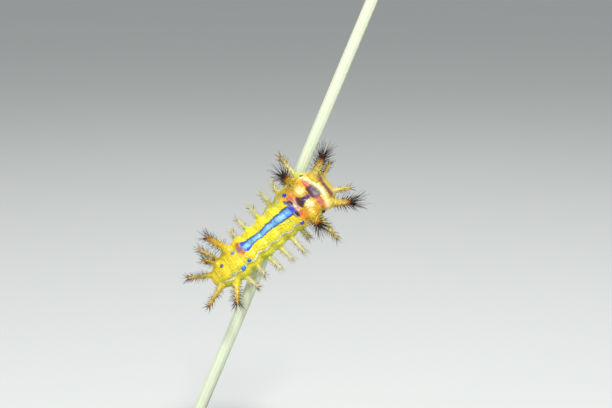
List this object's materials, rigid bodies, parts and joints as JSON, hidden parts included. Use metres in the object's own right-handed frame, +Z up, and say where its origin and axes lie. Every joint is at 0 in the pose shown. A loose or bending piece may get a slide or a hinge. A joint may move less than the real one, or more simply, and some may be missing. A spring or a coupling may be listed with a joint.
{
  "type": "slug-moth larva on a stem",
  "caption": "Life-size slug-moth larva with spiny horns, clinging to a length of green stem on a small stand.",
  "frame": {"origin": "on the floor under the middle of the stand's base", "axes": "+Z up; the larva's back faces -Y, its head end points to +X and up; the base is longest along X"},
  "size_m": [0.064, 0.046, 0.1031],
  "materials": {
    "skin": "moist waxy skin",
    "head": "smooth horn",
    "horn": "satin skin, dark at the tips",
    "side_scolus": "pale satin skin",
    "tail_scolus": "satin skin",
    "stem": "smooth waxy stem",
    "stand_metal": "brushed",
    "stand_plate": "satin black acrylic"
  },
  "bodies": {
    "root": {"thorax": "skin", "abdomen_front": "skin", "abdomen_middle": "skin", "abdomen_rear": "skin", "head": "head", "scolus_front_left_upper": "horn", "scolus_front_right_upper": "horn", "scolus_front_left_lower": "side_scolus", "scolus_front_right_lower": "side_scolus", "scolus_second_left_upper": "horn", "scolus_second_right_upper": "horn", "scolus_second_left_lower": "side_scolus", "scolus_second_right_lower": "side_scolus", "scolus_left_1": "side_scolus", "scolus_left_2": "side_scolus", "scolus_left_3": "side_scolus", "scolus_left_4": "side_scolus", "scolus_left_5": "side_scolus", "scolus_left_6": "side_scolus", "scolus_right_1": "side_scolus", "scolus_right_2": "side_scolus", "scolus_right_3": "side_scolus", "scolus_right_4": "side_scolus", "scolus_right_5": "side_scolus", "scolus_right_6": "side_scolus", "scolus_rear_left_upper": "horn", "scolus_rear_left_lower": "tail_scolus", "scolus_tail_left_upper": "tail_scolus", "scolus_tail_left_lower": "tail_scolus", "scolus_tail_right_lower": "tail_scolus", "scolus_rear_right_upper": "horn", "stem": "stem", "stand_rod": "stand_metal", "stand_base": "stand_plate"}
  },
  "joints": []
}
